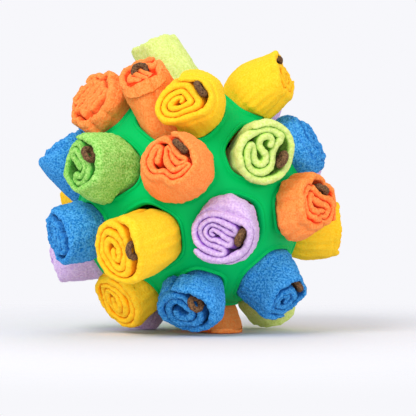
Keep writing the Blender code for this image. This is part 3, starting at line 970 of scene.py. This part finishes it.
    def rolled(self) -> Array:
        """Roll the strip up, with a pocket behind its outer layer for a treat.

        Returns:
            The line's points.
        """
        plan, rng, facing = self.plan, self.rng, self.facing
        pitch = self.pitch * (self.loose_pitch_share if plan.winding is Winding.LOOSE else 1.0)
        full = self.radius * plan.width_share - self.fleece / 2
        squeeze = 1 - rng.uniform(*self.squeeze_shares)
        lie = rng.uniform(0, math.pi)
        waves = rng.uniform(0, math.tau, 3)
        opened = self.pocket_depth / 2 if plan.treat else 0.0
        points = []
        for step in range(int((full - opened - self.core) / pitch * self.turn_steps)):
            turn = step / self.turn_steps - plan.start
            angle = facing + turn * math.tau
            aside = opened * min(1.0, max(0.0, (turn * 2 - 0.4) * 1.5))
            length = full - pitch * step / self.turn_steps - aside
            length *= 1 + sum(self.waviness * math.sin(k * angle + wave) for k, wave in zip((2, 3, 5), waves))
            right, up = length * math.sin(angle), length * math.cos(angle)
            if not plan.treat:
                flat = (right * math.cos(lie) + up * math.sin(lie)) * (1 - squeeze)
                right, up = right - flat * math.cos(lie), up - flat * math.sin(lie)
            points.append((right - aside * math.sin(facing), up - aside * math.cos(facing)))
        return np.array(points)

    def treat_spots(self) -> Array:
        """Find the roll's treat, as seen on the plane of the roll's end.

        Returns:
            Points along its middle, which are far away where the roll has no treat.
        """
        if not self.plan.treat:
            return np.full((1, 2), 1.0)
        low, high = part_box(f"treat_{self.plan.name}")
        end = self.sections[-1]
        offset = (low + high) / 2 - end.middle
        along = np.array([math.cos(self.facing), -math.sin(self.facing)]) * self.treat_reach
        middle = np.array([offset.dot(axis) for axis in facing_axes(end.normal)])
        return middle + np.linspace(-1, 1, 15)[:, None] * along

    def half_widths(self, line: Array) -> tuple[Array, Array, Array]:
        """Work out how far the fleece swells to each side of its line before it meets the next layer.

        Args:
            line: The strip's line.

        Returns:
            The two half widths, left then right; how deep in folds both sides lie; and the left normals.
        """
        along = np.gradient(line, axis=0)
        along /= np.linalg.norm(along, axis=1)[:, None]
        left = np.column_stack([-along[:, 1], along[:, 0]])
        apart, beside = line[None] - line[:, None], self.treat_spots()[None] - line[:, None]
        ahead, side = (np.einsum("ijk,ik->ij", apart, axis) for axis in (along, left))
        level = np.abs(np.einsum("ijk,ik->ij", beside, along)) < self.treat_level
        order = np.arange(len(line))
        widths, covered = [], []
        for sign in (1, -1):
            near = (np.abs(ahead) < self.near_steps * self.step) & (sign * side > self.nearest_layer)
            near &= np.abs(np.subtract.outer(order, order)) > 3
            gap = np.where(near, sign * side, np.inf).min(axis=1)
            off = sign * np.einsum("ijk,ik->ij", beside, left)
            room = np.where(level & (off > 0), off - self.treat_half, np.inf).min(axis=1)
            half = np.minimum(gap / 2 - self.touching, room).clip(self.thinnest, self.fleece * self.swell_share)
            widths.append(smoothed(half))
            # How deep in folds each side lies, the deeper the narrower the gap beside it: it sets the painted
            # shade in folds and the rounding of the hems.
            covered.append(smoothed(np.clip(self.full_fold - gap / self.fold_light, 0, 1)))
        from_end = np.minimum(order, order[::-1]) * self.step
        rounding = np.sqrt(np.clip(1 - (1 - from_end / self.edge_round).clip(0, 1) ** 2, 0.02, 1))
        return np.array(widths) * rounding, np.array(covered), left

    def rooms(self, right: Vector, up: Vector, bearings: Array) -> Array:
        """Feel how far the roll may reach sideways where it passes its hole.

        Args:
            right: The section's direction of bearing 0.
            up: The section's direction of a quarter turn.
            bearings: The directions to try, in radians.

        Returns:
            The room in each direction.
        """
        found = []
        hole, aside = self.hole, self.aside
        rim = self.ball.radius * min(hole.direction.dot(self.ball.corners[key]) for key in hole.corners)
        for bearing in bearings:
            direction = math.cos(bearing) * right + math.sin(bearing) * up
            reaches = []
            for share in self.neck_levels:
                start = self.ball.centre + aside + (rim + share * self.ball.wall) * hole.direction
                hit = self.tree.ray_cast(start, direction)
                if hit[0]:
                    reaches.append(hit[3])
            towards_other = -direction.dot(aside)
            if towards_other > 0:
                reaches.append(aside.length_squared / towards_other)
            found.append(min(reaches) - GRIP)
        return np.array(found)

    def cross_sections(self) -> tuple[Section, Section, Section, Section]:
        """Place the roll's cross-sections as the CAD model has them.

        Returns:
            The tail, neck, shoulder and end sections.
        """
        plan, out, skin = self.plan, self.hole.direction, self.ball.radius
        middle = self.ball.centre + self.aside
        radius = self.radius * plan.width_share
        top = middle + skin * out
        end = top + self.reach * (plan.reach_share * out + Vector(plan.lean_shares))
        for _ in range(4 if plan.rests else 0):
            right, up = facing_axes((end - top).normalized())
            turns = np.linspace(0, math.tau, 24)
            rim = [end + self.foot_share * radius * (math.cos(a) * right + math.sin(a) * up) for a in turns]
            end.z -= min(point.z for point in rim) + self.foot_flat
        along = (end - top).normalized()
        normal = -UP if plan.ends_on_surface else along
        if plan.ends_on_surface:
            end.z = -self.foot_flat
        tilt = out.angle(normal)
        level = skin * math.cos(tilt)
        low_side = skin**2 + radius**2 - 2 * skin * radius * math.sin(tilt)
        outside = level**2 - low_side + (skin + self.shoulder_clearance) ** 2
        rise = max(self.shoulder_rise, math.sqrt(max(0.0, outside)) - level)
        side = tangent(UP, out)
        rooms = self.rooms(side, out.cross(side), np.arange(8) * math.tau / 8)
        neck = math.sqrt((skin - self.neck_depth) ** 2 - (rooms.max() + self.aside.length / 2) ** 2)
        return (
            Section(middle + (skin - self.tail_depth) * out, out, self.tail_radius),
            Section(middle + neck * out, out, radius * self.neck_fill_share),
            Section(top + rise * along, normal, radius),
            Section(end, normal, radius),
        )

    def lofted(self, line: Array, flat: Array, behind: Array) -> list[Array]:
        """Fit the strip's drawn cross-section to the roll's four sections.

        Args:
            line: The strip's line.
            flat: Every point's place on the plane of the end.
            behind: How far every point stays behind that plane.

        Returns:
            Every point's place at the tail, neck, shoulder and end.
        """
        plan, rng, end = self.plan, self.rng, self.sections[-1]
        spots = np.linspace(-math.pi, math.pi, self.bearings)
        creases = (1 - np.abs(np.sin((spots + rng.uniform(0, math.tau)) * plan.pleats[0] / 2))) ** 3
        creases *= plan.pleats[1] * MM * (0.7 + 0.3 * np.sin(2 * spots + rng.uniform(0, math.tau)))
        away = np.abs((np.arctan2(line[:, 1], line[:, 0]) - spots[:, None] + math.pi) % math.tau - math.pi)
        reach = np.linalg.norm(line, axis=1) + self.fleece / 2
        extent = (reach * np.clip(1 - away / self.extent_angle, 0, None) ** 0.5).max(axis=1)
        bulge = plan.lobe[1] * MM * np.cos(spots - math.radians(plan.lobe[0])).clip(0) ** 8
        slack = plan.gap[1] * MM * np.cos(spots - math.radians(plan.gap[0])).clip(0) ** 2
        turned = np.arctan2(flat[..., 1], flat[..., 0])
        places = []
        for number, section in enumerate(self.sections):
            right = tangent(facing_axes(end.normal)[0], section.normal)
            up = section.normal.cross(right)
            if number < 2:
                target = np.minimum(section.radius, self.rooms(right, up, spots)) - slack
            elif section is end:
                target = plan.end_share * extent - creases
            else:
                target = self.shoulder_share * section.radius - slack - self.flank_crease_share * creases + bulge
            scale = np.interp(turned, spots, target / extent)
            places.append(np.array(section.middle) + (flat * scale[..., None]) @ np.array([right, up]))
        places[-1] = places[-1] - behind[..., None] * np.array(end.normal)
        return places

    def build(self, rubber: bpy.types.Object) -> bpy.types.Object:
        """Wind the strip and stuff it into its hole.

        Args:
            rubber: The piece that it is stuffed into; not used.

        Returns:
            The piece.
        """
        plan = self.plan
        line = self.line()
        tail, _, shoulder, end = self.sections
        widths, covered, left = self.half_widths(line)
        count = self.wall_levels
        cap = slice(count, -count)
        theta = np.linspace(0, 1, self.cap_points) * math.pi
        arc = np.abs(np.sin(theta))
        across = np.concatenate([np.ones(count), np.cos(theta), -np.ones(count)])

        def by_side(values: Array) -> Array:
            """Give each ring of points the values of its own side of the line."""
            return np.where(across > 0, values[0][:, None], values[1][:, None])

        flat = line[:, None] + (across * by_side(widths))[..., None] * left[:, None]
        bearing, slope = (math.radians(angle) for angle in plan.dip)
        behind = math.tan(slope) * (flat @ np.array([math.cos(bearing), math.sin(bearing)]))
        outermost = smoothed((covered.min(axis=0) < self.outermost_fold).astype(float))
        behind = behind + (plan.wrap_back * MM * outermost)[:, None]
        places = self.lofted(line, flat, behind)
        keys = [2 * places[0] - places[1], *places, 2 * places[3] - places[2]]
        heights = np.linspace(*self.high_levels, count - len(self.low_levels))
        points = np.empty((*flat.shape[:2], 3))
        for k, height in enumerate([*self.low_levels, *heights]):
            at = min(int(height), 2)
            for column in (k, -1 - k):
                points[:, column] = spline(*(key[:, column] for key in keys[at : at + 4]), height - at)

        wander = np.zeros(len(line))
        for wave_mm in self.hem_waves_mm:
            share = self.hem_wander * (wave_mm / self.hem_waves_mm[0]) ** 0.5 / 1.6
            turns = np.arange(len(line)) * self.step / (wave_mm * MM)
            wander += share * np.sin(turns * math.tau + self.rng.uniform(0, math.tau))
        crest = self.crest + plan.proud * MM + wander
        normal = np.array(end.normal)
        depths = np.where(covered > self.outermost_fold, self.inner_cap, self.outer_cap)
        rise = crest[:, None] + by_side(depths)[:, cap] * (arc ** self.cap_bows[0] - 1)
        points[:, cap] = places[3][:, cap] + rise[..., None] * normal
        for column, depth in ((count - 1, depths[0]), (-count, depths[1])):
            points[:, column] = places[3][:, column] + (crest - depth * self.under_cap_share)[:, None] * normal
        points = self.settle(points.reshape(-1, 3))

        # Painted shade in folds, halved where an outer wrap stays back and faded over the round of each hem.
        painted_fold_shade = by_side(covered * (0.5 if plan.wrap_back else 1.0))
        painted_fold_shade[:, cap] *= 1 - arc ** self.cap_bows[1]
        piece = mesh_object(f"fleece_{plan.name}", points, self.faces(*painted_fold_shade.shape))
        attribute = piece.data.attributes.new("painted_fold_shade", "FLOAT", "POINT")
        attribute.data.foreach_set("value", painted_fold_shade.astype(np.float32).ravel())
        self.raise_pile(piece)
        enter(piece, plan.dye.value, f"roll_{plan.name}", f"roll_{plan.name}_body")
        return piece

    def faces(self, count: int, rings: int) -> list[list[int]]:
        """The faces of a strip.

        Args:
            count: How many points its line has.
            rings: How many points go round the strip at each of them.

        Returns:
            The vertex numbers of each face, with both ends of the strip closed.
        """
        numbers = np.arange(count * rings).reshape(count, rings)
        onward = np.roll(numbers, -1, axis=1)
        faces = np.stack([numbers[:-1], onward[:-1], onward[1:], numbers[1:]], axis=-1).reshape(-1, 4).tolist()
        for ring in (numbers[0].tolist(), numbers[-1][::-1].tolist()):
            faces += [[ring[k], ring[-1 - k], ring[-2 - k], ring[k + 1]] for k in range(rings // 2 - 1)]
        return faces

    def raise_pile(self, piece: bpy.types.Object) -> None:
        """Divide the strip's mesh finely and raise the clumps of its pile on it.

        Args:
            piece: The strip.
        """
        mesh = subdivide(piece, 1)
        points = np.empty(len(mesh.vertices) * 3)
        mesh.vertices.foreach_get("co", points)
        points = points.reshape(-1, 3)
        normals = np.empty(len(mesh.vertices) * 3, np.float32)
        mesh.vertex_normals.foreach_get("vector", normals)
        finish = self.plan.dye.value
        size = finish.nub_mm * MM
        height = finish.relief_mm * MM * lumps(points, size, 2) + finish.fray_mm * MM * lumps(points, size / 2, 3)
        outside = np.linalg.norm(points - np.array(self.ball.centre), axis=1) - self.ball.radius
        height *= self.pile_share * (outside / self.pile_clear).clip(0, 1)
        points = self.lifted(points + height[:, None] * normals.reshape(-1, 3))
        mesh.vertices.foreach_set("co", points.ravel())
        mesh.update()

    def settle(self, points: Array) -> Array:
        """Let the strip slump a little, and press it against what it touches.

        Args:
            points: The strip's points.

        Returns:
            The settled points.
        """
        seeds = self.rng.integers(1000, size=3)
        settled = points + self.slump * np.column_stack([lumps(points, self.slump_size, seed) for seed in seeds])
        near = np.linalg.norm(settled - np.array(self.ball.centre), axis=1) < self.ball.radius + self.press_reach
        for k in np.nonzero(near)[0]:
            place, normal, _, _ = self.tree.find_nearest(Vector(settled[k]), self.press_search)
            if place is not None and (Vector(settled[k]) - place).dot(normal) < GRIP:
                settled[k] = place + normal * GRIP
        return self.lifted(settled)

    def lifted(self, points: Array) -> Array:
        """Keep a strip that rests on the floor above it.

        Args:
            points: The strip's points, of which the low ones change.

        Returns:
            The points.
        """
        if self.plan.rests or self.plan.ends_on_surface:
            points[:, 2] = points[:, 2].clip(FLOOR_GAP)
        return points


@dataclass
class RingTreat:
    """A small ring of baked meal, tucked into a fold."""

    roll: StuffedRoll
    diameter: float = 10.5 * MM
    hole: float = 3 * MM
    around: int = 48
    section: int = 20
    crumble: float = 0.32 * MM
    crumb: float = 0.8 * MM

    def build(self, finish: BakedKibble) -> bpy.types.Object:
        """Bake the ring in its place.

        Args:
            finish: The meal.

        Returns:
            The piece.
        """
        name, facing = self.roll.plan.name, self.roll.facing
        low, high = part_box(f"treat_{name}")
        normal = self.roll.sections[-1].normal
        right, up = facing_axes(normal)
        axis = math.sin(facing) * right + math.cos(facing) * up
        spread = normal.cross(axis)
        thick = (self.diameter - self.hole) / 4
        points, outward = [], []
        for k, j in product(range(self.around), range(self.section)):
            turn, bend = k * math.tau / self.around, j * math.tau / self.section
            spoke = math.cos(turn) * normal + math.sin(turn) * spread
            offset = (self.hole / 2 + thick + thick * math.cos(bend)) * spoke + thick * math.sin(bend) * axis
            points.append((low + high) / 2 + offset)
            outward.append(math.cos(bend) * spoke + math.sin(bend) * axis)
        points = np.array(points)
        rough = lumps(points, 2 * self.crumb, 4) + 0.6 * lumps(points, self.crumb, 5) - 0.5
        points = points + (self.crumble * rough)[:, None] * np.array(outward)
        numbers = np.arange(self.around * self.section).reshape(self.around, self.section)
        ahead, beside = np.roll(numbers, -1, axis=0), np.roll(numbers, -1, axis=1)
        faces = np.stack([numbers, beside, np.roll(ahead, -1, axis=1), ahead], axis=-1).reshape(-1, 4)
        piece = mesh_object(f"kibble_{name}", points, faces.tolist())
        enter(piece, finish, f"treat_{name}", f"treat_{name}_body")
        return piece


@dataclass
class Studio:
    """The pale floor, the soft lamps and the camera."""

    centre: Vector
    background: str = "#F7F7FB"
    room_light: float = 0.72
    floor_reach: float = 0.5
    camera_offset: tuple = (0.00969, -1.149, -0.00498)
    lens_mm: float = 174.9
    sensor_mm: float = 36.0
    # Name, place, size in metres and power in watts of each lamp
    lamps: tuple = (
        ("key_lamp", (-0.55, -0.85, 0.95), 0.7, 9.0),
        ("fill_lamp", (0.85, -0.75, 0.35), 0.8, 2.5),
        ("front_lamp", (0.1, -1.3, 0.16), 0.5, 3.0),
        ("back_lamp", (0.1, 0.9, 0.9), 0.8, 2.5),
    )

    def build(self) -> None:
        """Set up the floor, the world, the lamps and the camera."""
        scene = bpy.context.scene
        scene.view_settings.view_transform = "Standard"
        signs = ((-1, -1, 0), (1, -1, 0), (1, 1, 0), (-1, 1, 0))
        floor = mesh_object("floor", np.array(signs) * self.floor_reach, [(0, 1, 2, 3)])
        floor.data.materials.append(PaperSweep().material())
        self.light_room(scene)
        for name, place, size, power in self.lamps:
            lamp = bpy.data.lights.new(name, "AREA")
            lamp.shape, lamp.size, lamp.energy = "DISK", size, power
            holder = bpy.data.objects.new(name, lamp)
            scene.collection.objects.link(holder)
            holder.location = place
            holder.rotation_euler = (self.centre - Vector(place)).to_track_quat("-Z", "Y").to_euler()
        lens = bpy.data.cameras.new("camera")
        lens.lens, lens.sensor_width = self.lens_mm, self.sensor_mm
        camera = bpy.data.objects.new("camera", lens)
        scene.collection.objects.link(camera)
        camera.location = self.centre + Vector(self.camera_offset)
        camera.rotation_euler = (math.pi / 2, 0, 0)
        scene.camera = camera

    def light_room(self, scene: bpy.types.Scene) -> None:
        """Give the world a plain light, and its own white where it is seen directly or in a reflection.

        Args:
            scene: The scene.
        """
        scene.world = bpy.data.worlds.new("room")
        scene.world.use_nodes = True
        tree = scene.world.node_tree
        tree.nodes.clear()
        rays = add_node(tree, "ShaderNodeLightPath").outputs
        seen = rays["Is Camera Ray"]
        for kind in ("Is Glossy Ray", "Is Transmission Ray"):
            seen = add_node(tree, "ShaderNodeMath", {0: seen, 1: rays[kind]}, operation="MAXIMUM").outputs[0]
        light = add_node(tree, "ShaderNodeBackground", {"Color": (1, 1, 1, 1), "Strength": self.room_light})
        wall = add_node(tree, "ShaderNodeBackground", {"Color": linear(self.background), "Strength": 1.0})
        mixed = add_node(tree, "ShaderNodeMixShader", {0: seen, 1: light.outputs[0], 2: wall.outputs[0]})
        add_node(tree, "ShaderNodeOutputWorld", {"Surface": mixed.outputs[0]})


def main() -> None:
    """Build every piece in order, and log the rubber's faces and each treat's name."""
    logging.basicConfig(level=logging.INFO, format="%(message)s")
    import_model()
    low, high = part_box("rubber_ball")
    centre = Vector(((low.x + high.x) / 2, (low.y + high.y) / 2, BALL_HEIGHT))
    ball = LatticeBall(centre)
    rubber = ball.build(MouldedRubber())
    log.info("%s: %d faces", rubber.name, len(rubber.data.polygons))
    tree = ball.search_tree()
    for number, plan in enumerate(PLANS):
        roll = StuffedRoll(plan, number, ball, tree)
        roll.build(rubber)
        if plan.treat:
            log.info("%s", RingTreat(roll).build(BakedKibble()).name)
    Studio(centre).build()


if __name__ == "__main__":
    main()
